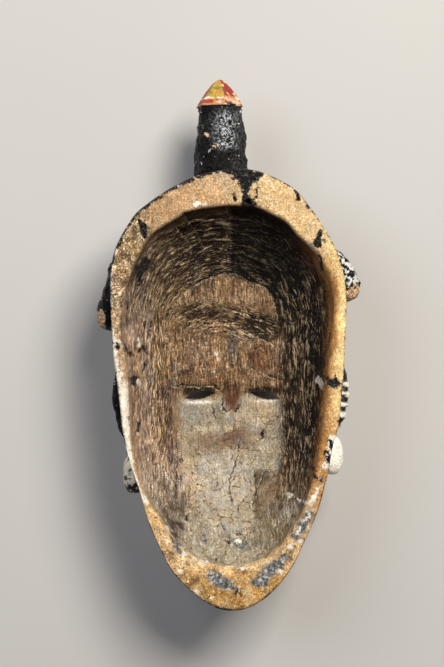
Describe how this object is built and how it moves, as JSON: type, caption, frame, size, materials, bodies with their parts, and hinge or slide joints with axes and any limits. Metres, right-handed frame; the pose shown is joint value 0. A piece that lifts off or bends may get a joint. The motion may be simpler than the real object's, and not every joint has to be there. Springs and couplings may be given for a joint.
{
  "type": "mask",
  "caption": "Hollow carved and painted wooden face mask with slit eyes and a finial on its crown, lying on its face.",
  "frame": {"origin": "middle of the mask's box, at the level of the surface that it lies on", "axes": "+Y from the chin to the crown, +X to the right seen into the hollow, +Z from the face to the open back"},
  "size_m": [0.259, 0.508, 0.134],
  "materials": {
    "wood": "old carved wood, painted outside, bare inside"
  },
  "bodies": {
    "root": {"mask": "wood"}
  },
  "joints": []
}
